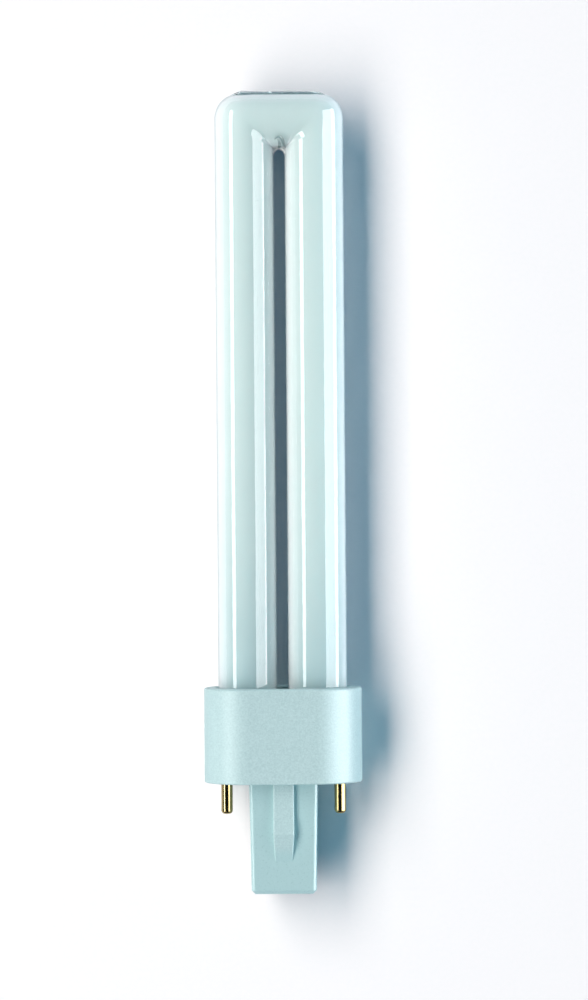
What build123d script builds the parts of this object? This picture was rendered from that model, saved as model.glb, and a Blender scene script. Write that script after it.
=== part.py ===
from build123d import *

import os
from math import cos, radians, sin, sqrt, tan

# Plug-in fluorescent lamp with a U-shaped glass tube, lying on the flat back of its cap. Sizes are in
# millimetres. The origin is the middle of the cap's seating face, between the two contact pins. +Y runs
# along the lamp to the tip of the glass, +X across the two legs, and +Z away from the supporting surface.

# Glass discharge tube
tube_diameter = 12.0
glass_wall = 0.9
slot_width = 2.2
tube_top = 140.5
web_thickness = 3.0
fold_angle = 38.0
fold_diameter = 0.7
fold_width = 1.4
fold_height = 2.3
fold_bend = 0.45
pinch_bottom = 8.2
pinch_height = 4.0
pinch_shoulder_height = 2.2
pinch_thickness = 2.8
bore_gap = 0.8
exhaust_diameter = 2.6
exhaust_length = 3.0
exhaust_round = 1.2

# Collar of the cap
collar_height = 19.2
collar_end_wall = 2.55
collar_side_wall = 2.65
rim_round = 0.5
seat_round = 0.3
mouth_chamfer = 0.3
floor_thickness = 2.4
tube_clearance = 0.35

# Cement that bonds the legs into the collar
cement_recess = 1.6
cement_depth = 2.8

# Post of the cap
post_length = 22.5
post_width = 13.9
post_depth = 8.6
post_corner_radius = 0.8
post_tip_chamfer = 0.7
post_draft = 1.0
post_wall = 1.25
post_end_wall = 1.4
post_inner_radius = 0.4

# Retaining rib on both broad sides of the post
rib_width = 4.1
rib_height = 1.3
rib_length = 6.9
catch_height = 2.1
catch_distance = 10.2
ramp_foot_width = 3.6
ramp_foot_distance = 15.9
rib_edge_round = 0.25
rib_draft = 3.0
rib_root = 0.9

# Contact pins, 23 mm apart
pin_end_distance = 4.5
pin_diameter = 2.35
pin_length = 6.5
pin_tip_round = 0.75
pin_shank_diameter = 2.7
pin_fit = 0.03
pin_head_diameter = 3.2
pin_head_height = 0.8
pin_tail_diameter = 1.7
pin_tail_height = 1.5
pin_cup_depth = 1.9

# Leads
lead_diameter = 0.6
lead_fit = 0.05
lead_bend_radius = 0.7
lead_run = 1.0
lead_end_gap = 0.4
electrode_lead_pitch = 4.8
crossing_offset = 1.2
crossing_step = 0.8

# Crimp sleeves that join the leads in threes
crimp_spacing = 7.2
crimp_bottom = 0.8
crimp_length = 3.6
crimp_wall = 0.4
crimp_entry = 0.5

# Room round the parts in the post
inside_clearance = 0.2
inside_gap = 0.9

# Glow starter in the post
starter_headroom = 3.0
starter_shoulder_round = 1.0
starter_pinch_width = 4.0
starter_pinch_thickness = 1.6
starter_pinch_length = 2.6
starter_pinch_round = 0.4
starter_nib_diameter = 1.4
starter_nib_length = 0.9
starter_nib_round = 0.4
starter_lead_pitch = 2.4

# Capacitor in the post
capacitor_length = 9.5
capacitor_round = 0.9
capacitor_lead_pitch = 2.4

# Sizes worked out from the ones above
tube_radius = tube_diameter / 2
bore_radius = tube_radius - glass_wall
slot_radius = slot_width / 2
leg_x = tube_radius + slot_radius
bridge_y = tube_top - tube_radius
slot_top = bridge_y - tube_radius
fold_out = Vector(0, -cos(radians(fold_angle)), sin(radians(fold_angle)))
fold_plane = Plane(Vector(0, bridge_y, 0) + fold_out * tube_radius, x_dir=(1, 0, 0), z_dir=fold_out)
pinch_top = pinch_bottom + pinch_height
pinch_shoulder = pinch_top + pinch_shoulder_height
cavity_width = tube_diameter + 2 * tube_clearance
collar_end_x = leg_x + cavity_width / 2 + collar_end_wall
collar_back = cavity_width / 2 + collar_side_wall
cement_top = collar_height - cement_recess
draft_slope = tan(radians(post_draft))
rib_side_slope = tan(radians(rib_draft))
post_inside_end = post_end_wall - post_length
post_end_width = post_width - 2 * (post_wall - post_inside_end * draft_slope)
post_end_depth = post_depth - 2 * (post_wall - post_inside_end * draft_slope)
pin_x = collar_end_x - pin_end_distance
pin_head_top = floor_thickness + pin_head_height
pin_tail_top = pin_head_top + pin_tail_height
crimp_x = crimp_spacing / 2
crimp_top = crimp_bottom + crimp_length
lead_radius = lead_diameter / 2
lead_place = (lead_diameter + lead_fit) / sqrt(3)
crimp_bore_radius = lead_place + lead_radius + lead_fit / 2
starter_diameter = post_end_depth - 2 * inside_clearance
starter_dome_round = (starter_diameter - starter_nib_diameter) / 2
starter_x = inside_clearance + starter_diameter / 2 - post_end_width / 2
starter_top = -starter_headroom
starter_body_top = starter_top - starter_pinch_length
starter_body_bottom = post_inside_end + starter_nib_length
capacitor_depth = post_end_depth - 2 * inside_clearance
capacitor_width = post_end_width - 2 * inside_clearance - inside_gap - starter_diameter
capacitor_x = post_end_width / 2 - inside_clearance - capacitor_width / 2
capacitor_top = post_inside_end + capacitor_length
sides = {"left": -1, "right": 1}


def facing_tip(y):
    """The plane across the lamp at y, its normal towards the tip of the glass."""
    return Plane(origin=(0, y, 0), x_dir=(1, 0, 0), z_dir=(0, 1, 0))


def facing_post(y):
    """The plane across the lamp at y, its normal towards the end of the post."""
    return Plane.XZ.offset(-y)


def save(builder, name):
    """Label a finished piece and write it to a file of the same name."""
    builder.part.label = name
    export_step(builder.part, f"parts/{name}.step")


def u_shape(radius, foot, mode=Mode.ADD):
    """Two round legs from the foot up, a bridge across their tops and a ball at each outer corner."""
    with BuildSketch(facing_tip(foot)) as legs:
        with Locations((-leg_x, 0), (leg_x, 0)):
            Circle(radius)
    extrude(legs.sketch, amount=bridge_y - foot, mode=mode)
    with BuildSketch(Plane.YZ.offset(-leg_x)) as bridge:
        with Locations((bridge_y, 0)):
            Circle(radius)
    extrude(bridge.sketch, amount=2 * leg_x, mode=mode)
    with Locations((-leg_x, bridge_y, 0), (leg_x, bridge_y, 0)):
        Sphere(radius, mode=mode)


def retaining_rib(side):
    """A rib on one broad side of the post: a straight run, a catch standing proud and a ramp to the
    tip. Its sides have draft, and the edges of its crest are rounded."""
    profiles = []
    sections = [
        (0, rib_width, rib_height),
        (rib_length, rib_width, rib_height),
        (catch_distance, rib_width, catch_height),
        (ramp_foot_distance, ramp_foot_width, 0),
    ]
    for distance, width, height in sections:
        face = post_depth / 2 - distance * draft_slope
        crest = side * (face + height)
        root = side * (face - rib_root)
        foot = width / 2 + rib_side_slope * (height + rib_root)
        with BuildSketch(facing_post(-distance)) as section:
            with BuildLine():
                Polyline((-width / 2, crest), (width / 2, crest), (foot, root), (-foot, root), close=True)
            make_face()
            fillet(section.vertices().sort_by(lambda corner: side * corner.Y)[-2:], rib_edge_round)
        profiles.append(section.sketch)
    loft(profiles, ruled=True)


def lead(name, *route):
    """A round wire along a route of straight runs joined by tangent bends."""
    with BuildPart() as wire:
        with BuildLine() as path:
            FilletPolyline(*route, radius=lead_bend_radius)
        with BuildSketch(Plane(origin=path.line @ 0, z_dir=path.line % 0)):
            Circle(lead_radius)
        sweep(path=path.line)
    save(wire, name)


def crimped_end(side, height):
    """The last two points of a lead that comes up into a crimp sleeve, at a height beside its middle."""
    x = side * (crimp_x - lead_place / 2)
    return (x, crimp_bottom - crimp_entry, height), (x, crimp_top - lead_end_gap, height)


def direct_route(side, start, turn_y, height):
    """From a part in the post straight up to the crimp sleeve on the same side."""
    return start, (start[0], turn_y, 0), *crimped_end(side, height)


def crossing_route(side, start, turn_y, height, offset):
    """From a part in the post across to the far crimp sleeve, with an offset clear of the other leads."""
    entry, end = crimped_end(side, height)
    aside = (start[0] + side * crossing_step, turn_y + crossing_step, offset)
    back = (entry[0] - side * crossing_step, entry[1] - crossing_step, offset)
    return start, (start[0], turn_y, 0), aside, back, entry, end


os.makedirs("parts", exist_ok=True)

# Discharge tube: one closed glass vessel, two legs and a bridge
with BuildPart() as discharge_tube:
    u_shape(tube_radius, pinch_bottom)
    # Web of thick glass that rounds off the slot under the bridge
    with BuildSketch(Plane.XY):
        with Locations((0, slot_top)):
            Rectangle(slot_width + glass_wall, slot_width)
        with Locations((0, slot_top - slot_radius)):
            Circle(slot_radius, mode=Mode.SUBTRACT)
    extrude(amount=web_thickness / 2, both=True)
    # Small fold of clear glass that the bending left on the front of the bridge, over the slot
    with BuildLine(fold_plane) as fold:
        FilletPolyline(
            (-fold_width / 2, fold_height / 6),
            (-fold_width / 4, fold_height / 2),
            (fold_width / 2, fold_height / 5),
            (fold_width / 2, -fold_height / 2),
            radius=fold_bend,
        )
    with BuildSketch(Plane(origin=fold.line @ 0, z_dir=fold.line % 0)):
        Circle(fold_diameter / 2)
    sweep(path=fold.line)
    with Locations(fold.line @ 0, fold.line @ 1):
        Sphere(fold_diameter / 2)
    # Pinch seals, where the soft glass of each foot was pressed flat
    with BuildSketch(Plane.YZ):
        with BuildLine():
            Polyline(
                (pinch_bottom, pinch_thickness / 2),
                (pinch_top, pinch_thickness / 2),
                (pinch_shoulder, tube_radius),
                (pinch_bottom, tube_radius),
                close=True,
            )
        make_face()
        mirror(about=Plane.XZ)
    extrude(amount=leg_x + tube_radius, both=True, mode=Mode.SUBTRACT)
    # Sealed stub of the exhaust tube at the foot of the left leg
    with BuildSketch(facing_post(pinch_bottom)):
        with Locations((-leg_x, 0)):
            Circle(exhaust_diameter / 2)
    extrude(amount=exhaust_length)
    fillet(discharge_tube.edges().group_by(Axis.Y)[0], exhaust_round)
    u_shape(bore_radius, pinch_shoulder + bore_gap, Mode.SUBTRACT)
save(discharge_tube, "discharge_tube")

# Cap body: collar, floor and hollow post moulded in one
with BuildPart() as cap_body:
    with BuildSketch(facing_tip(0)):
        SlotOverall(2 * collar_end_x, 2 * collar_back)
    extrude(amount=collar_height)
    fillet(cap_body.edges().group_by(Axis.Y)[-1], rim_round)
    fillet(cap_body.edges().group_by(Axis.Y)[0], seat_round)
    # Cavity that takes both legs, open at the rim
    with BuildSketch(facing_tip(floor_thickness)):
        SlotCenterToCenter(2 * leg_x, cavity_width)
    extrude(amount=collar_height - floor_thickness, mode=Mode.SUBTRACT)
    chamfer(cap_body.faces().sort_by(Axis.Y)[-1].inner_wires()[0].edges(), mouth_chamfer)
    # Tapered post with its chamfered tip
    with BuildSketch(facing_post(0)):
        Rectangle(post_width, post_depth)
    extrude(amount=post_length, taper=post_draft)
    fillet(cap_body.edges(Select.LAST).filter_by(lambda edge: abs((edge % 0.5).Y) > 0.5), post_corner_radius)
    chamfer(cap_body.edges().group_by(Axis.Y)[0], post_tip_chamfer)
    for side in sides.values():
        retaining_rib(side)
    # Hollow of the post, open into the collar
    inside_draft = 2 * (floor_thickness * draft_slope - post_wall)
    with BuildSketch(facing_post(floor_thickness)):
        RectangleRounded(post_width + inside_draft, post_depth + inside_draft, post_inner_radius)
    extrude(amount=floor_thickness - post_inside_end, taper=post_draft, mode=Mode.SUBTRACT)
    # Holes for the contact pins
    with BuildSketch(facing_tip(0)):
        with Locations((-pin_x, 0), (pin_x, 0)):
            Circle(pin_shank_diameter / 2 + pin_fit)
    extrude(amount=floor_thickness, mode=Mode.SUBTRACT)
save(cap_body, "cap_body")

# Basing cement: fills the cavity round the legs, a little below the rim
with BuildPart() as basing_cement:
    with BuildSketch(facing_post(cement_top)):
        SlotCenterToCenter(2 * leg_x, cavity_width)
        with Locations((-leg_x, 0), (leg_x, 0)):
            Circle(tube_radius, mode=Mode.SUBTRACT)
    extrude(amount=cement_depth)
save(basing_cement, "basing_cement")

# Contact pins, turned with a head that seats on the floor and a cup for the lead
for word, side in sides.items():
    with BuildPart() as contact_pin:
        with BuildSketch(facing_tip(-pin_length)):
            with Locations((side * pin_x, 0)):
                Circle(pin_diameter / 2)
        extrude(amount=pin_length)
        fillet(contact_pin.edges().group_by(Axis.Y)[0], pin_tip_round)
        with BuildSketch(facing_tip(0)):
            with Locations((side * pin_x, 0)):
                Circle(pin_shank_diameter / 2)
        extrude(amount=floor_thickness)
        with BuildSketch(facing_tip(floor_thickness)):
            with Locations((side * pin_x, 0)):
                Circle(pin_head_diameter / 2)
        extrude(amount=pin_head_height)
        with BuildSketch(facing_tip(pin_head_top)):
            with Locations((side * pin_x, 0)):
                Circle(pin_tail_diameter / 2)
        extrude(amount=pin_tail_height)
        with BuildSketch(facing_post(pin_tail_top)):
            with Locations((side * pin_x, 0)):
                Circle(lead_radius + lead_fit)
        extrude(amount=pin_cup_depth, mode=Mode.SUBTRACT)
    save(contact_pin, f"contact_pin_{word}")

# Glow starter: a small glass bulb with a rounded end, a nib and a flat pinch
with BuildPart() as starter_bulb:
    with BuildSketch(facing_tip(starter_body_bottom)):
        with Locations((starter_x, 0)):
            Circle(starter_diameter / 2)
    extrude(amount=starter_body_top - starter_body_bottom)
    fillet(starter_bulb.edges().group_by(Axis.Y)[0], starter_dome_round)
    fillet(starter_bulb.edges().group_by(Axis.Y)[-1], starter_shoulder_round)
    with BuildSketch(facing_post(starter_body_bottom)):
        with Locations((starter_x, 0)):
            Circle(starter_nib_diameter / 2)
    extrude(amount=starter_nib_length)
    fillet(starter_bulb.edges().group_by(Axis.Y)[0], starter_nib_round)
    with BuildSketch(facing_tip(starter_body_top)):
        with Locations((starter_x, 0)):
            RectangleRounded(starter_pinch_width, starter_pinch_thickness, starter_pinch_round)
    extrude(amount=starter_pinch_length)
    # The pinch runs a little into the bulb, where the shoulder curves away from it
    with BuildSketch(facing_post(starter_body_top)):
        with Locations((starter_x, 0)):
            RectangleRounded(starter_pinch_width, starter_pinch_thickness, starter_pinch_round)
    extrude(amount=starter_shoulder_round)
save(starter_bulb, "starter_bulb")

# Capacitor: a dipped block that stands on the end wall of the post
with BuildPart() as capacitor:
    with BuildSketch(facing_tip(post_inside_end)):
        with Locations((capacitor_x, 0)):
            Rectangle(capacitor_width, capacitor_depth)
    extrude(amount=capacitor_length)
    fillet(capacitor.edges(), capacitor_round)
save(capacitor, "capacitor")

# Crimp sleeves, each round three leads
for word, side in sides.items():
    with BuildPart() as crimp_sleeve:
        with BuildSketch(facing_tip(crimp_bottom)):
            with Locations((side * crimp_x, 0)):
                Circle(crimp_bore_radius + crimp_wall)
                Circle(crimp_bore_radius, mode=Mode.SUBTRACT)
        extrude(amount=crimp_length)
    save(crimp_sleeve, f"crimp_sleeve_{word}")

# Electrode leads: the outer one of each leg ends in the contact pin, the inner one in the crimp sleeve
for word, side in sides.items():
    outer_x = side * (leg_x + electrode_lead_pitch / 2)
    inner_x = side * (leg_x - electrode_lead_pitch / 2)
    sleeve_x = side * (crimp_x + lead_place)
    cup_bottom = pin_tail_top - pin_cup_depth
    lead(
        f"pin_lead_{word}",
        (outer_x, pinch_bottom, 0),
        (outer_x, pinch_bottom - lead_run, 0),
        (side * pin_x, pin_tail_top + lead_run, 0),
        (side * pin_x, cup_bottom + lead_fit, 0),
    )
    lead(
        f"electrode_lead_{word}",
        (inner_x, pinch_bottom, 0),
        (inner_x, pinch_bottom - lead_run, 0),
        (sleeve_x, crimp_top + lead_run, 0),
        (sleeve_x, crimp_bottom + lead_end_gap, 0),
    )

# Starter leads: the left one runs up beside its sleeve, the right one crosses at the back
starter_turn = starter_top + lead_run
starter_left = (starter_x - starter_lead_pitch / 2, starter_top, 0)
starter_right = (starter_x + starter_lead_pitch / 2, starter_top, 0)
lead("starter_lead_left", *direct_route(-1, starter_left, starter_turn, -lead_place * sqrt(3) / 2))
lead(
    "starter_lead_right",
    *crossing_route(1, starter_right, starter_turn, -lead_place * sqrt(3) / 2, -crossing_offset),
)

# Capacitor leads: the right one runs up beside its sleeve, the left one crosses at the front
capacitor_turn = starter_turn - crossing_step
capacitor_left = (capacitor_x - capacitor_lead_pitch / 2, capacitor_top, 0)
capacitor_right = (capacitor_x + capacitor_lead_pitch / 2, capacitor_top, 0)
lead("capacitor_lead_right", *direct_route(1, capacitor_right, capacitor_turn, lead_place * sqrt(3) / 2))
lead(
    "capacitor_lead_left",
    *crossing_route(-1, capacitor_left, capacitor_turn, lead_place * sqrt(3) / 2, crossing_offset),
)
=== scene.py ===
from math import cos, pi, radians, sin, sqrt

import bmesh
import bpy
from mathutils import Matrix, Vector


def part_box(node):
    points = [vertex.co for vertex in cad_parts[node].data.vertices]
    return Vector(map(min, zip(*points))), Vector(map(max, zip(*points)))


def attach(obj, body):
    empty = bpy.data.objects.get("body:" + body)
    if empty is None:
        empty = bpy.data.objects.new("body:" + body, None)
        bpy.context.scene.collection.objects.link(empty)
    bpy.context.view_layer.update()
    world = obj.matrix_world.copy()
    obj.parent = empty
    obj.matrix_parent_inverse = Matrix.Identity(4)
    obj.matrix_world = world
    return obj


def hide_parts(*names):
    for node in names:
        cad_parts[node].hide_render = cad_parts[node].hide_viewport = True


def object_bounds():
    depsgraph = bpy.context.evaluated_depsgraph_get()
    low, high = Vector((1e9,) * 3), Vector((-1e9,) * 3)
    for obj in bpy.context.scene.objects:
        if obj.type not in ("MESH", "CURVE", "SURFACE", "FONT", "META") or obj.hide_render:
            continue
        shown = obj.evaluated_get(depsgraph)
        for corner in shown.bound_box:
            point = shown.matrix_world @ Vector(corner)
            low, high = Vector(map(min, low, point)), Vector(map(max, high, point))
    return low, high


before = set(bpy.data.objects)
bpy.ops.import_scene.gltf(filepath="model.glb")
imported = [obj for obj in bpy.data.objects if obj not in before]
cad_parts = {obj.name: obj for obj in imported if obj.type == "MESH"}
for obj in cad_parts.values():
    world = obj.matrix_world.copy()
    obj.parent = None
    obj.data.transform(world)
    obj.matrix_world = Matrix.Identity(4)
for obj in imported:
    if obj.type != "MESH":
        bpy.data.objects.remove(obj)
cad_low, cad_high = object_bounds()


# Discharge tube: one length of 12 mm clear glass tube, softened and folded into two legs and a square
# bridge, with its inside washed with a white phosphor. The clear wall and the white lining are two
# pieces of the same form, one inside the other, and the lining ends above the pinch seals.
mm = 0.001
tube_low, tube_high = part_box("discharge_tube")
tube_radius = 6.0 * mm
leg_x = tube_high.x - tube_radius
bridge_y = tube_high.y - tube_radius
slot_radius = leg_x - tube_radius
slot_top = bridge_y - tube_radius
rim_y = 19.2 * mm
pinch_bottom = 8.2 * mm
pinch_top = 12.2 * mm
pinch_shoulder = 14.4 * mm
pinch_half = 1.4 * mm
wall = 0.35 * mm
lining_foot = 15.2 * mm
seam_drop = 1.05 * mm


class Sum:
    """A number worked out by a node tree. The usual signs on it add the nodes that do the sum."""

    def __init__(self, tree, socket):
        self.tree = tree
        self.socket = socket

    def step(self, operation, *others):
        """Adds the math node of this operation, with this number as its first input."""
        node = self.tree.nodes.new("ShaderNodeMath")
        node.operation = operation
        for place, other in zip(node.inputs, (self, *others)):
            if isinstance(other, Sum):
                self.tree.links.new(other.socket, place)
            else:
                place.default_value = other
        return Sum(self.tree, node.outputs["Value"])

    def __add__(self, other):
        return self.step("ADD", other)

    def __sub__(self, other):
        return self.step("SUBTRACT", other)

    def __mul__(self, other):
        return self.step("MULTIPLY", other)

    def __truediv__(self, other):
        return self.step("DIVIDE", other)

    def choose(self, if_one, if_zero):
        """if_one where this number is 1, and if_zero where it is 0."""
        return (if_one - if_zero) * self + if_zero

    def ramp(self, low, high, to_low, to_high):
        """Goes evenly from to_low to to_high while this number goes from low to high, then stops."""
        node = self.tree.nodes.new("ShaderNodeMapRange")
        limits = {
            "Value": self, "From Min": low, "From Max": high, "To Min": to_low, "To Max": to_high,
        }
        for name, value in limits.items():
            if isinstance(value, Sum):
                self.tree.links.new(value.socket, node.inputs[name])
            else:
                node.inputs[name].default_value = value
        return Sum(self.tree, node.outputs["Result"])


def tube_tree():
    """Geometry nodes for a U of round tube: a flat grid of points wrapped round legs and bridge."""
    tree = bpy.data.node_groups.new("u tube", "GeometryNodeTree")
    link = tree.links.new
    size_names = (
        "Radius", "Leg X", "Bridge Y", "Foot Y", "Pinch Y", "Shoulder Y", "Pinch Half",
        "Top Y", "Top Waver", "Ripple",
    )
    for name in size_names:
        tree.interface.new_socket(name, in_out="INPUT", socket_type="NodeSocketFloat")
    tree.interface.new_socket("Finish", in_out="INPUT", socket_type="NodeSocketMaterial")
    tree.interface.new_socket("Geometry", in_out="OUTPUT", socket_type="NodeSocketGeometry")
    entry = tree.nodes.new("NodeGroupInput")
    sizes = {name: Sum(tree, entry.outputs[name]) for name in size_names}
    radius = sizes["Radius"]
    leg = sizes["Leg X"]
    bridge = sizes["Bridge Y"]

    rings, around = 190, 112
    leg_share, bend_share = 0.40, 0.88
    grid = tree.nodes.new("GeometryNodeMeshGrid")
    grid.inputs["Vertices X"].default_value = rings
    grid.inputs["Vertices Y"].default_value = around
    place = tree.nodes.new("GeometryNodeInputPosition")
    apart = tree.nodes.new("ShaderNodeSeparateXYZ")
    link(place.outputs["Position"], apart.inputs["Vector"])
    along = Sum(tree, apart.outputs["X"]) + 0.5
    turn = (Sum(tree, apart.outputs["Y"]) + 0.5) * (2 * pi)

    # Up the leg, round the inner corner of the slot as a fan of planes, and across to the middle
    crotch_x = leg - radius
    crotch_y = bridge - radius
    leg_y = along.ramp(1 / (rings - 1), leg_share, sizes["Foot Y"], crotch_y)
    angle = along.ramp(leg_share, bend_share, 0.0, pi / 2)
    half_bridge = along.ramp(bend_share, 1.0, crotch_x, 0.0)
    over = angle.step("GREATER_THAN", pi / 4)
    slant = angle.step("MINIMUM", (angle - pi / 2) * -1)
    reach = radius * slant.step("TANGENT")
    centre_x = over.choose(half_bridge + reach, leg)
    centre_y = over.choose(bridge, leg_y + reach)

    # In each plane the section is the tube cut at a slant, and the ball of the corner past its end
    across = turn.step("COSINE")
    upward = turn.step("SINE")
    flat = across * slant.step("COSINE")
    lift = across * slant.step("SINE")
    tube = radius / (flat * flat + upward * upward).step("SQRT")
    room = radius - reach
    ball = lift * room + ((lift * room) * (lift * room) + radius * radius - room * room).step("SQRT")
    size = (tube * lift).step("GREATER_THAN", room).choose(ball, tube)
    size = size * along.step("GREATER_THAN", 0.5 / (rings - 1))
    x = centre_x + size * across * angle.step("COSINE")
    y = centre_y + size * across * angle.step("SINE")
    z = size * upward
    half = y.ramp(sizes["Pinch Y"], sizes["Shoulder Y"], sizes["Pinch Half"], radius)
    z = z.step("MINIMUM", half).step("MAXIMUM", half * -1)
    long_wave, short_wave = 1.9 * mm, 0.83 * mm
    wave = (x * (1 / long_wave)).step("SINE") + (x * (1 / short_wave) + 1.3).step("SINE") * 0.6
    y = y.step("MINIMUM", sizes["Top Y"] + wave * sizes["Top Waver"])

    together = tree.nodes.new("ShaderNodeCombineXYZ")
    for name, value in (("X", x), ("Y", y), ("Z", z)):
        link(value.socket, together.inputs[name])

    # Soft glass can't hold a sharp inner crease, so the mitre is evened out over a few millimetres
    near_crease = (angle - pi / 4).step("ABSOLUTE").ramp(0.05, 0.32, 1.0, 0.0)
    inner_side = across.ramp(-0.25, 0.35, 1.0, 0.0)
    near_top = y.ramp(sizes["Top Y"] - 1.5 * mm, sizes["Top Y"] - 0.5 * mm, 0.0, 0.35)
    softness = (near_crease * inner_side).step("MAXIMUM", near_top)
    store = tree.nodes.new("GeometryNodeStoreNamedAttribute")
    store.inputs["Name"].default_value = "softness"
    link(grid.outputs["Mesh"], store.inputs["Geometry"])
    link(softness.socket, store.inputs["Value"])
    wrap = tree.nodes.new("GeometryNodeSetPosition")
    link(store.outputs["Geometry"], wrap.inputs["Geometry"])
    link(together.outputs["Vector"], wrap.inputs["Position"])
    read = tree.nodes.new("GeometryNodeInputNamedAttribute")
    read.inputs["Name"].default_value = "softness"

    other_side = tree.nodes.new("GeometryNodeTransform")
    other_side.inputs["Scale"].default_value = (-1, 1, 1)
    turned = tree.nodes.new("GeometryNodeFlipFaces")
    joined = tree.nodes.new("GeometryNodeJoinGeometry")
    merged = tree.nodes.new("GeometryNodeMergeByDistance")
    merged.inputs["Distance"].default_value = 0.0001 * mm
    link(wrap.outputs["Geometry"], other_side.inputs["Geometry"])
    link(other_side.outputs["Geometry"], turned.inputs["Mesh"])
    link(wrap.outputs["Geometry"], joined.inputs["Geometry"])
    link(turned.outputs["Mesh"], joined.inputs["Geometry"])
    link(joined.outputs["Geometry"], merged.inputs["Geometry"])

    blur = tree.nodes.new("GeometryNodeBlurAttribute")
    blur.data_type = "FLOAT_VECTOR"
    blur.inputs["Iterations"].default_value = 28
    spot = tree.nodes.new("GeometryNodeInputPosition")
    even = tree.nodes.new("GeometryNodeSetPosition")
    blur_value = [s for s in blur.inputs if s.name == "Value" and s.enabled][0]
    blur_result = [s for s in blur.outputs if s.name == "Value" and s.enabled][0]
    link(spot.outputs["Position"], blur_value)
    link(read.outputs["Attribute"], blur.inputs["Weight"])
    link(merged.outputs["Geometry"], even.inputs["Geometry"])
    link(blur_result, even.inputs["Position"])

    # Drawn glass is never quite even: long shallow ripples move the surface in and out a little
    ripple = tree.nodes.new("ShaderNodeTexNoise")
    ripple.inputs["Scale"].default_value = 1 / (9 * mm)
    ripple.inputs["Detail"].default_value = 1.0
    normal = tree.nodes.new("GeometryNodeInputNormal")
    swing = (Sum(tree, ripple.outputs["Fac"]) - 0.5) * sizes["Ripple"]
    shift = tree.nodes.new("ShaderNodeVectorMath")
    shift.operation = "SCALE"
    link(normal.outputs["Normal"], shift.inputs[0])
    link(swing.socket, shift.inputs["Scale"])
    waver = tree.nodes.new("GeometryNodeSetPosition")
    link(even.outputs["Geometry"], waver.inputs["Geometry"])
    link(shift.outputs["Vector"], waver.inputs["Offset"])

    smooth = tree.nodes.new("GeometryNodeSetShadeSmooth")
    whole = tree.nodes.new("GeometryNodeRealizeInstances")
    finish = tree.nodes.new("GeometryNodeSetMaterial")
    result = tree.nodes.new("NodeGroupOutput")
    link(waver.outputs["Geometry"], smooth.inputs[0])
    link(smooth.outputs[0], whole.inputs["Geometry"])
    link(whole.outputs["Geometry"], finish.inputs["Geometry"])
    link(entry.outputs["Finish"], finish.inputs["Material"])
    link(finish.outputs["Geometry"], result.inputs["Geometry"])
    return tree


def put_in_scene(name, data):
    """A new object in the scene, with the given mesh, curve, light or camera."""
    thing = bpy.data.objects.new(name, data)
    bpy.context.scene.collection.objects.link(thing)
    return thing


def plain_mesh(holder):
    """The mesh that an object's node tree or curve makes. The object itself is removed."""
    evaluated = holder.evaluated_get(bpy.context.evaluated_depsgraph_get())
    mesh = bpy.data.meshes.new_from_object(evaluated)
    bpy.data.objects.remove(holder)
    return mesh


def bake(name, tree, values):
    """Runs a geometry node tree with the given inputs and keeps the result as a plain mesh object."""
    holder = put_in_scene(name + "_holder", bpy.data.meshes.new(name + "_holder"))
    modifier = holder.modifiers.new("make", "NODES")
    modifier.node_group = tree
    for item in tree.interface.items_tree:
        if item.in_out == "INPUT" and item.name in values:
            modifier[item.identifier] = values[item.name]
    mesh = plain_mesh(holder)
    mesh.name = name
    return put_in_scene(name, mesh)


def srgb(red, green, blue):
    """A colour given as 0 to 255 screen values, as the linear colour that a shader takes."""
    shares = [value / 255 for value in (red, green, blue)]
    linear = [s / 12.92 if s <= 0.04045 else ((s + 0.055) / 1.055) ** 2.4 for s in shares]
    return (*linear, 1.0)


def new_material(name):
    """A node material with one Principled BSDF; returns the material, its tree and that shader."""
    material = bpy.data.materials.new(name)
    material.use_nodes = True
    tree = material.node_tree
    return material, tree, tree.nodes["Principled BSDF"]


def mottle_group():
    """Shader node group: a cloud of a given size that blends two colours and two roughnesses."""
    group = bpy.data.node_groups.new("mottle", "ShaderNodeTree")
    kinds = {
        "Size": "NodeSocketFloat", "Detail": "NodeSocketFloat", "Stretch": "NodeSocketVector",
        "First": "NodeSocketColor", "Second": "NodeSocketColor",
        "Smoothest": "NodeSocketFloat", "Roughest": "NodeSocketFloat",
    }
    for name, kind in kinds.items():
        group.interface.new_socket(name, in_out="INPUT", socket_type=kind)
    group.interface.new_socket("Colour", in_out="OUTPUT", socket_type="NodeSocketColor")
    group.interface.new_socket("Roughness", in_out="OUTPUT", socket_type="NodeSocketFloat")
    group.interface.new_socket("Height", in_out="OUTPUT", socket_type="NodeSocketFloat")
    entry = group.nodes.new("NodeGroupInput")
    result = group.nodes.new("NodeGroupOutput")
    coordinates = group.nodes.new("ShaderNodeTexCoord")
    mapping = group.nodes.new("ShaderNodeMapping")
    texture = group.nodes.new("ShaderNodeTexNoise")
    fineness = Sum(group, entry.outputs["Size"]).step("POWER", -1.0)
    contrast = Sum(group, texture.outputs["Fac"]).ramp(0.3, 0.7, 0.0, 1.0)
    colour = group.nodes.new("ShaderNodeMix")
    colour.data_type = "RGBA"
    smoothest, roughest = (Sum(group, entry.outputs[name]) for name in ("Smoothest", "Roughest"))
    roughness = contrast.ramp(0.0, 1.0, smoothest, roughest)
    link = group.links.new
    link(coordinates.outputs["Object"], mapping.inputs["Vector"])
    link(entry.outputs["Stretch"], mapping.inputs["Scale"])
    link(mapping.outputs["Vector"], texture.inputs["Vector"])
    link(fineness.socket, texture.inputs["Scale"])
    link(entry.outputs["Detail"], texture.inputs["Detail"])
    link(contrast.socket, colour.inputs["Factor"])
    link(entry.outputs["First"], colour.inputs["A"])
    link(entry.outputs["Second"], colour.inputs["B"])
    link(colour.outputs["Result"], result.inputs["Colour"])
    link(roughness.socket, result.inputs["Roughness"])
    link(texture.outputs["Fac"], result.inputs["Height"])
    return group


mottle_nodes = mottle_group()


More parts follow.
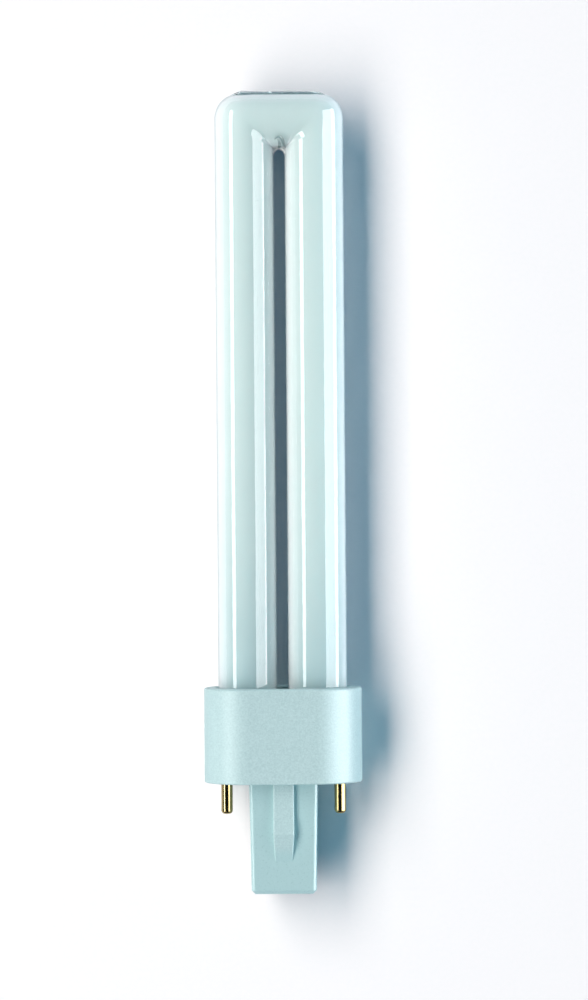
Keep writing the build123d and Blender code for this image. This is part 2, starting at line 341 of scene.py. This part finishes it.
def mottle(
    tree, size, detail=2.0, stretch=(1, 1, 1),
    colours=((0, 0, 0, 1), (1, 1, 1, 1)), roughness=(0, 1),
):
    """Places the mottle group in a material and returns its node."""
    node = tree.nodes.new("ShaderNodeGroup")
    node.node_tree = mottle_nodes
    values = {
        "Size": size, "Detail": detail, "Stretch": stretch, "First": colours[0], "Second": colours[1],
        "Smoothest": roughness[0], "Roughest": roughness[1],
    }
    for name, value in values.items():
        node.inputs[name].default_value = value
    return node


def raise_surface(tree, shader, height, depth, strength=1.0):
    """Bumps a surface by a height of 0 to 1 times depth."""
    bump = tree.nodes.new("ShaderNodeBump")
    bump.inputs["Strength"].default_value = strength
    bump.inputs["Distance"].default_value = depth
    tree.links.new(height, bump.inputs["Height"])
    tree.links.new(bump.outputs["Normal"], shader.inputs["Normal"])


def coat(tree, shader, cloud, colour=None):
    """Gives a shader the roughness of a mottle node, and its colour or the given one."""
    if colour is None:
        colour = cloud.outputs["Colour"]
    tree.links.new(colour, shader.inputs["Base Color"])
    tree.links.new(cloud.outputs["Roughness"], shader.inputs["Roughness"])


def mixed(tree, share, first, second):
    """The colour that goes from first to second as share goes from 0 to 1."""
    mix = tree.nodes.new("ShaderNodeMix")
    mix.data_type = "RGBA"
    for name, value in (("Factor", share), ("A", first), ("B", second)):
        if isinstance(value, bpy.types.NodeSocket):
            tree.links.new(value, mix.inputs[name])
        else:
            mix.inputs[name].default_value = value
    return mix.outputs["Result"]


def place_on_piece(tree):
    """X, Y and Z of the point that is shaded, in metres."""
    coordinates = tree.nodes.new("ShaderNodeTexCoord")
    apart = tree.nodes.new("ShaderNodeSeparateXYZ")
    tree.links.new(coordinates.outputs["Object"], apart.inputs["Vector"])
    return [Sum(tree, apart.outputs[axis]) for axis in "XYZ"]


def facing_away(tree, bias=0.5):
    """0 where a surface is looked at straight on, up to 1 where it is looked at along its edge."""
    weight = tree.nodes.new("ShaderNodeLayerWeight")
    weight.inputs["Blend"].default_value = bias
    return Sum(tree, weight.outputs["Facing"])


def ray_is(tree, *kinds):
    """1 for a ray of one of these kinds, such as Shadow, and 0 for any other."""
    path = tree.nodes.new("ShaderNodeLightPath")
    first, *others = (Sum(tree, path.outputs[f"Is {kind} Ray"]) for kind in kinds)
    for other in others:
        first = first.step("MAXIMUM", other)
    return first


def clear_glass():
    """Soda glass with a faint green tint. Where the wall is looked at along its edge it is painted
    darker, partly the deeper tint and partly painted shade.
    Diffuse and shadow rays go straight through, so the lining is lit as through the thin wall."""
    material, tree, shader = new_material("clear_glass")
    # Painted shade: beyond its faint tint, the glass is painted dark green towards the edges of the
    # view.
    rim_shade_share = facing_away(tree).ramp(0.60, 0.86, 0.0, 1.0)
    tint_and_rim_shade = mixed(tree, rim_shade_share.socket, srgb(247, 252, 252), srgb(104, 136, 142))
    tree.links.new(tint_and_rim_shade, shader.inputs["Base Color"])
    shader.inputs["Roughness"].default_value = 0.015
    shader.inputs["IOR"].default_value = 1.52
    shader.inputs["Transmission Weight"].default_value = 1.0
    drawn = mottle(tree, 6 * mm, detail=1.0, stretch=(1, 0.25, 1))
    raise_surface(tree, shader, drawn.outputs["Height"], depth=0.012 * mm)
    through = tree.nodes.new("ShaderNodeBsdfTransparent")
    mix = tree.nodes.new("ShaderNodeMixShader")
    tree.links.new(ray_is(tree, "Diffuse", "Shadow").socket, mix.inputs["Fac"])
    tree.links.new(shader.outputs["BSDF"], mix.inputs[1])
    tree.links.new(through.outputs["BSDF"], mix.inputs[2])
    tree.links.new(mix.outputs["Shader"], tree.nodes["Material Output"].inputs["Surface"])
    return material


def phosphor():
    """The white lining: a fine powder that lets some light through. Towards the cap it is painted
    darker, painted shade, and looked at on a slant it is painted whiter, a painted sheen on its
    sides."""
    material, tree, shader = new_material("phosphor_lining")
    thick = mottle(
        tree, 14 * mm, detail=3.0, stretch=(1, 0.4, 1),
        colours=(srgb(196, 215, 213), srgb(201, 219, 217)), roughness=(0.85, 0.95),
    )
    # Painted shade: the greyer tone that the lining takes towards the cap, where the light falls off.
    shaded_tone = mottle(
        tree, 5 * mm, stretch=(1, 0.5, 1), colours=(srgb(164, 190, 193), srgb(171, 196, 198)),
    )
    _, y, _ = place_on_piece(tree)
    # Painted shade, strongest by the cap and fading out about a third of the way up the legs.
    shade_toward_cap = y.ramp(rim_y, 98 * mm, 1.0, 0.0).step("POWER", 3.0)
    powder_and_cap_shade = mixed(tree, shade_toward_cap.socket, thick.outputs["Colour"], shaded_tone.outputs["Colour"])
    # Painted sheen: the lining is painted near white where it is looked at on a slant, which lightens
    # its shaded sides.
    slant = facing_away(tree).ramp(0.08, 0.40, 0.0, 1.0)
    coat(tree, shader, thick, mixed(tree, slant.socket, powder_and_cap_shade, srgb(251, 253, 254)))
    shader.inputs["Specular IOR Level"].default_value = 0.1
    shader.inputs["Subsurface Weight"].default_value = 1.0
    shader.inputs["Subsurface Radius"].default_value = (1.0, 1.0, 1.0)
    shader.inputs["Subsurface Scale"].default_value = 9 * mm
    return material


def part_of_tube(piece):
    """Hides the CAD glass tube and attaches a piece that stands for it, or for something on it, to
    the root body.
    """
    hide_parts("discharge_tube")
    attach(piece, "root")


glass = clear_glass()
white_lining = phosphor()
tube_nodes = tube_tree()
tube_glass = bake("tube_glass", tube_nodes, {
    "Radius": tube_radius, "Leg X": leg_x, "Bridge Y": bridge_y, "Foot Y": pinch_bottom,
    "Pinch Y": pinch_top, "Shoulder Y": pinch_shoulder, "Pinch Half": pinch_half,
    "Top Y": tube_high.y - seam_drop, "Top Waver": 0.03 * mm, "Ripple": 0.05 * mm, "Finish": glass,
})
tube_lining = bake("tube_lining", tube_nodes, {
    "Radius": tube_radius - wall, "Leg X": leg_x, "Bridge Y": bridge_y, "Foot Y": lining_foot,
    "Pinch Y": pinch_bottom, "Shoulder Y": pinch_top, "Pinch Half": tube_radius,
    "Top Y": tube_high.y - seam_drop - 0.30 * mm, "Top Waver": 0.08 * mm, "Ripple": 0.12 * mm,
    "Finish": white_lining,
})
part_of_tube(tube_glass)
part_of_tube(tube_lining)


# Web of the slot: glass that ran together under the bridge and rounds the slot's upper end, with the
# white coating running across behind it.
web_half_depth = 1.4 * mm
web_side = slot_radius + 0.6 * mm
web_top = slot_top + 0.8 * mm
hollow_y = slot_top - slot_radius
web_outline = [(web_side, hollow_y), (web_side, web_top), (-web_side, web_top), (-web_side, hollow_y)]
arc_steps = 24
for step in range(arc_steps + 1):
    angle = pi - pi * step / arc_steps
    web_outline.append((slot_radius * cos(angle), hollow_y + slot_radius * sin(angle)))
web_shape = bmesh.new()
web_front = [web_shape.verts.new((x, y, web_half_depth)) for x, y in web_outline]
web_back = [web_shape.verts.new((x, y, -web_half_depth)) for x, y in web_outline]
front_face = web_shape.faces.new(web_front)
back_face = web_shape.faces.new(web_back[::-1])
for i, corner in enumerate(web_front):
    after = (i + 1) % len(web_front)
    web_shape.faces.new((corner, web_back[i], web_back[after], web_front[after]))
web_edges = [*front_face.edges, *back_face.edges]
bmesh.ops.bevel(web_shape, geom=web_edges, offset=0.3 * mm, segments=4, affect="EDGES")
bmesh.ops.recalc_face_normals(web_shape, faces=web_shape.faces)
web_mesh = bpy.data.meshes.new("slot_web")
web_shape.to_mesh(web_mesh)
web_shape.free()
web_mesh.shade_smooth()
web_mesh.materials.append(white_lining)
part_of_tube(put_in_scene("slot_web", web_mesh))


# Folds and seam of the bridge: where the hot glass was bent and pressed it left two small curls of
# clear glass over the slot and an uneven clear ridge along the top, solid threads on the tube's wall.
def thick_glass(name, palest, deepest, shaded_edge):
    """The same glass where it is thick, darker and greener, and painted darker still at its edges,
    partly the deeper tint and partly painted shade.
    """
    material, tree, shader = new_material(name)
    shader.inputs["IOR"].default_value = 1.52
    shader.inputs["Transmission Weight"].default_value = 1.0
    cloud = mottle(tree, 1.1 * mm, colours=(deepest, palest), roughness=(0.02, 0.05))
    # Painted shade: dark outlines painted where a thread is looked at along its edge.
    away = facing_away(tree, 0.45)
    coat(tree, shader, cloud, mixed(tree, away.socket, cloud.outputs["Colour"], shaded_edge))
    return material


def glass_thread(name, material, points, flatness=1.0):
    """A smooth solid thread along points of (x, y, z, radius), its section flatness times as deep."""
    data = bpy.data.curves.new(name, "CURVE")
    data.dimensions = "3D"
    data.bevel_depth = 1.0
    data.bevel_resolution = 5
    data.use_fill_caps = True
    data.resolution_u = 10
    spline = data.splines.new("NURBS")
    spline.points.add(len(points) - 1)
    for place, (x, y, z, radius) in zip(spline.points, points):
        place.co = (x, y, z / flatness, 1.0)
        place.radius = radius
    spline.order_u = 4
    spline.use_endpoint_u = True
    mesh = plain_mesh(put_in_scene(name + "_holder", data))
    shape = bmesh.new()
    shape.from_mesh(mesh)
    for corner in shape.verts:
        corner.co.z *= flatness
    bmesh.ops.remove_doubles(shape, verts=shape.verts, dist=0.001 * mm)
    bmesh.ops.recalc_face_normals(shape, faces=shape.faces)
    shape.to_mesh(mesh)
    shape.free()
    mesh.shade_smooth()
    mesh.materials.clear()
    mesh.materials.append(material)
    part_of_tube(put_in_scene(name, mesh))


def on_bridge(x, y, radius, stand=0.0):
    """A point of a thread on the front of the bridge at x and y, its middle stand above the glass."""
    below = y - bridge_y
    reach = tube_radius + stand
    height = sqrt(tube_radius ** 2 - below ** 2)
    return x, bridge_y + below * reach / tube_radius, height * reach / tube_radius, radius


fold_y = slot_top + 1.2 * mm
curl_glass = thick_glass("curl_glass", srgb(236, 244, 244), srgb(196, 212, 213), srgb(82, 102, 106))
glass_thread("outer_curl", curl_glass, [
    on_bridge(-0.75 * mm, fold_y + 0.45 * mm, 0.12 * mm, -0.05 * mm),
    on_bridge(-0.55 * mm, fold_y + 0.95 * mm, 0.26 * mm, 0.18 * mm),
    on_bridge(0.05 * mm, fold_y + 1.25 * mm, 0.34 * mm, 0.26 * mm),
    on_bridge(0.70 * mm, fold_y + 0.75 * mm, 0.36 * mm, 0.28 * mm),
    on_bridge(0.90 * mm, fold_y - 0.10 * mm, 0.34 * mm, 0.22 * mm),
    on_bridge(1.10 * mm, fold_y - 0.80 * mm, 0.22 * mm, -0.05 * mm),
])
glass_thread("inner_curl", curl_glass, [
    on_bridge(-0.30 * mm, fold_y + 0.60 * mm, 0.10 * mm, -0.05 * mm),
    on_bridge(0.00 * mm, fold_y + 0.45 * mm, 0.24 * mm, 0.16 * mm),
    on_bridge(0.20 * mm, fold_y - 0.20 * mm, 0.30 * mm, 0.24 * mm),
    on_bridge(0.15 * mm, fold_y - 0.85 * mm, 0.30 * mm, 0.15 * mm),
    on_bridge(-0.20 * mm, fold_y - 1.10 * mm, 0.16 * mm, -0.05 * mm),
])
ridge_left, ridge_length, ridge_steps = -10.6, 20.6, 40
ridge_drop = 0.53 * mm
ridge_radius = 0.54 * mm
ridge_points = []
# The ridge swells and thins unevenly from left to right, and its ends sink into the glass
for step in range(ridge_steps + 1):
    share = step / ridge_steps
    x = (ridge_left + ridge_length * share) * mm
    past_corner = max(0.0, abs(x) - leg_x)
    top = bridge_y + sqrt(tube_radius ** 2 - past_corner ** 2)
    swell = 0.86 - 0.20 * share + 0.09 * sin(13 * share) + 0.05 * sin(41 * share + 1.0)
    end_fade = min(1.0, 6 * share + 0.1, 6 * (1 - share) + 0.1)
    ridge_points.append((x, top - ridge_drop, 0.0, ridge_radius * swell * end_fade))
ridge_glass = thick_glass(
    "ridge_glass", srgb(232, 240, 241), srgb(198, 212, 215), srgb(172, 192, 196),
)
glass_thread("top_ridge", ridge_glass, ridge_points, flatness=2.6)


# Cap body: collar, floor and keyed post moulded in one from pale thermoplastic. The mould's finely
# eroded surface leaves a satin grain on the collar and the rib. The thin-walled post came out of it
# smoother, and its face is painted a little deeper in colour, painted shade for a face lying lower
# below the collar.
def dress(node, material):
    """Gives a CAD node its finish."""
    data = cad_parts[node].data
    data.materials.clear()
    data.materials.append(material)


def cap_plastic():
    material, tree, shader = new_material("cap_plastic")
    thick = mottle(
        tree, 0.35 * mm, colours=(srgb(161, 191, 193), srgb(177, 205, 206)), roughness=(0.40, 0.56),
    )
    # Painted shade: the deeper tone of the post's face, which also carries the post's smoother
    # roughness.
    shaded_tone = mottle(
        tree, 0.35 * mm, colours=(srgb(163, 197, 199), srgb(168, 201, 203)), roughness=(0.27, 0.31),
    )
    grain = mottle(tree, 0.28 * mm, detail=3.0)
    _, y, z = place_on_piece(tree)
    below_collar = y.ramp(-0.3 * mm, 0.3 * mm, 1.0, 0.0)
    off_rib = z.ramp(4.5 * mm, 5.2 * mm, 1.0, 0.0)
    # The post's face, below the collar and off the rib, takes the painted shade, a smoother roughness
    # and a finer grain.
    post_share = below_collar * off_rib
    colour = mixed(tree, post_share.socket, thick.outputs["Colour"], shaded_tone.outputs["Colour"])
    tree.links.new(colour, shader.inputs["Base Color"])
    thin_gloss, thick_gloss = (Sum(tree, side.outputs["Roughness"]) for side in (shaded_tone, thick))
    tree.links.new(post_share.choose(thin_gloss, thick_gloss).socket, shader.inputs["Roughness"])
    shader.inputs["Specular IOR Level"].default_value = 0.6
    post_relief = 0.12
    eroded = Sum(tree, grain.outputs["Height"]) * post_share.ramp(0.0, 1.0, 1.0, post_relief)
    raise_surface(tree, shader, eroded.socket, depth=0.046 * mm, strength=0.7)
    return material


dress("cap_body", cap_plastic())


# Contact pins: turned from brass rod, with a rounded tip, and tumbled bright. They are pressed up
# through the floor of the cap, and their heads seat on it.
def polished_brass():
    material, tree, shader = new_material("polished_brass")
    tarnish = mottle(
        tree, 1.6 * mm, detail=3.0,
        colours=(srgb(152, 135, 90), srgb(170, 153, 108)), roughness=(0.12, 0.20),
    )
    turning = mottle(tree, 0.15 * mm, stretch=(0.1, 1, 0.1))
    coat(tree, shader, tarnish)
    shader.inputs["Metallic"].default_value = 1.0
    raise_surface(tree, shader, turning.outputs["Height"], depth=0.002 * mm, strength=0.5)
    return material


brass = polished_brass()
dress("contact_pin_left", brass)
dress("contact_pin_right", brass)


# Basing cement: a phenolic cement paste, pressed in round the legs and baked hard and matt. It holds
# the glass in the collar, a little below the rim.
def baked_cement():
    material, tree, shader = new_material("baked_cement")
    grain = mottle(
        tree, 0.6 * mm, detail=4.0,
        colours=(srgb(176, 172, 160), srgb(214, 210, 198)), roughness=(0.85, 0.98),
    )
    coat(tree, shader, grain)
    raise_surface(tree, shader, grain.outputs["Height"], depth=0.12 * mm, strength=0.8)
    return material


dress("basing_cement", baked_cement())


# Glow starter: a small bulb of clear glass in the post, its far end drawn to a nib and its near end
# pinched flat round its two leads.
def starter_glass():
    material, tree, shader = new_material("starter_glass")
    film = mottle(
        tree, 2 * mm, colours=(srgb(218, 229, 225), srgb(226, 235, 231)), roughness=(0.03, 0.10),
    )
    coat(tree, shader, film)
    shader.inputs["Transmission Weight"].default_value = 0.85
    return material


dress("starter_bulb", starter_glass())


# Capacitor: a film roll dipped in red-brown lacquer, which dries to a smooth glossy skin. It stands
# on the post's end wall beside the starter.
def dipped_lacquer():
    material, tree, shader = new_material("dipped_lacquer")
    pool = mottle(
        tree, 1.5 * mm, colours=(srgb(120, 50, 32), srgb(146, 64, 40)), roughness=(0.20, 0.32),
    )
    coat(tree, shader, pool)
    raise_surface(tree, shader, pool.outputs["Height"], depth=0.08 * mm, strength=0.6)
    return material


dress("capacitor", dipped_lacquer())


# Leads and crimp sleeves: plated wire from the glass, the starter and the capacitor, three runs of it
# squeezed into each of two short plated sleeves.
def plated_metal():
    material, tree, shader = new_material("plated_metal")
    drawn = mottle(
        tree, 0.25 * mm, stretch=(1, 0.1, 1),
        colours=(srgb(176, 176, 172), srgb(204, 204, 200)), roughness=(0.22, 0.42),
    )
    coat(tree, shader, drawn)
    shader.inputs["Metallic"].default_value = 1.0
    return material


plated = plated_metal()
for side in ("left", "right"):
    for kind in ("pin_lead", "electrode_lead", "starter_lead", "capacitor_lead", "crimp_sleeve"):
        dress(f"{kind}_{side}", plated)


# Floor: a white sheet that the lamp lies on. The camera, gloss and glass see it white with the lamp's
# cool shadow on it, and what it throws back at the lamp is dimmer, as from a large dark room.
def white_paper():
    material, tree, shader = new_material("white_paper")
    fibres = mottle(
        tree, 0.9 * mm, detail=3.0,
        colours=(srgb(253, 254, 254), srgb(255, 255, 255)), roughness=(0.9, 1.0),
    )
    dimmed = (0.22, 0.31, 0.38, 1)
    seen = ray_is(tree, "Camera", "Glossy", "Transmission")
    coat(tree, shader, fibres, mixed(tree, seen.socket, dimmed, fibres.outputs["Colour"]))
    shader.inputs["Specular IOR Level"].default_value = 0.0
    return material


floor_half = 3000 * mm
floor_z = cad_low.z - 0.02 * mm
floor_mesh = bpy.data.meshes.new("floor")
corner_signs = ((-1, -1), (1, -1), (1, 1), (-1, 1))
floor_corners = [(x * floor_half, y * floor_half, floor_z) for x, y in corner_signs]
floor_mesh.from_pydata(floor_corners, [], [(0, 1, 2, 3)])
floor_mesh.materials.append(white_paper())
floor = put_in_scene("floor", floor_mesh)


# Light: a soft key from the upper left that casts the shadow, a low card on each side and a fill on
# the right, all three flagged off the floor, and reflectors that only gloss shows: a strip on the
# left, a high and a low one on the right.
middle = Vector((0, 62 * mm, 0))
flagged_off = bpy.data.collections.new("flagged_off")
flagged_off.objects.link(floor)
flagged_off.collection_objects[0].light_linking.link_state = "EXCLUDE"


def soft_light(name, side_angle, distance, width, power, colour, glossy=False, flagged=False):
    """An area light beside the lamp, side_angle degrees from straight above towards +X, facing it.
    Gloss sees it or matt surfaces do, never both. A flagged one doesn't light the floor."""
    length_share = 1.45 if glossy else 2.2
    light = bpy.data.lights.new(name, "AREA")
    light.shape = "RECTANGLE"
    light.size = width
    light.size_y = length_share * distance
    light.energy = power
    light.color = colour
    lamp = put_in_scene(name, light)
    angle = radians(side_angle)
    lamp.location = middle + Vector((sin(angle), 0, cos(angle))) * distance
    lamp.rotation_euler = (0, angle, 0)
    lamp.visible_glossy = glossy
    lamp.visible_transmission = glossy
    lamp.visible_diffuse = not glossy
    lamp.visible_camera = False
    if flagged:
        lamp.light_linking.receiver_collection = flagged_off


# Name, side angle, distance, width, power in watts and colour
soft_light("key", -38, 2400 * mm, 1120 * mm, 117.0, (1.0, 0.89, 0.83))
soft_light("left_card", -90, 700 * mm, 16 * mm, 1.8, (1.0, 0.92, 0.9), flagged=True)
soft_light("right_card", 90, 700 * mm, 16 * mm, 6.0, (0.88, 0.95, 1.0), flagged=True)
soft_light("right_fill", 60, 700 * mm, 160 * mm, 2.0, (1.0, 0.92, 0.88), flagged=True)
soft_light("left_strip", -52, 600 * mm, 150 * mm, 4.2, (1.0, 1.0, 1.0), glossy=True)
soft_light("right_box", 60, 600 * mm, 600 * mm, 12.0, (1.0, 1.0, 1.0), glossy=True)
soft_light("right_low", 86, 600 * mm, 200 * mm, 4.5, (1.0, 1.0, 1.0), glossy=True)

# The dim bluish room lights the lamp a little from all round, and gloss shows it nearly dark
room_light = 0.225
room_in_gloss = 0.02
world = bpy.data.worlds.new("studio")
bpy.context.scene.world = world
world.use_nodes = True
backdrop = world.node_tree.nodes["Background"]
backdrop.inputs["Color"].default_value = (0.14, 0.62, 1.0, 1)
strength = ray_is(world.node_tree, "Glossy").ramp(0.0, 1.0, room_light, room_in_gloss)
world.node_tree.links.new(strength.socket, backdrop.inputs["Strength"])


# Camera: straight above the lamp, 0.72 m away, turned 0.4 degrees as the photograph is.
camera_data = bpy.data.cameras.new("camera")
camera_data.sensor_width = 36.0
camera_data.lens = 127.5
camera = put_in_scene("camera", camera_data)
camera.location = (2.55 * mm, 57.2 * mm, 720 * mm)
camera.rotation_euler = (0, 0, radians(-0.42))
bpy.context.scene.camera = camera
bpy.context.scene.view_settings.view_transform = "Standard"
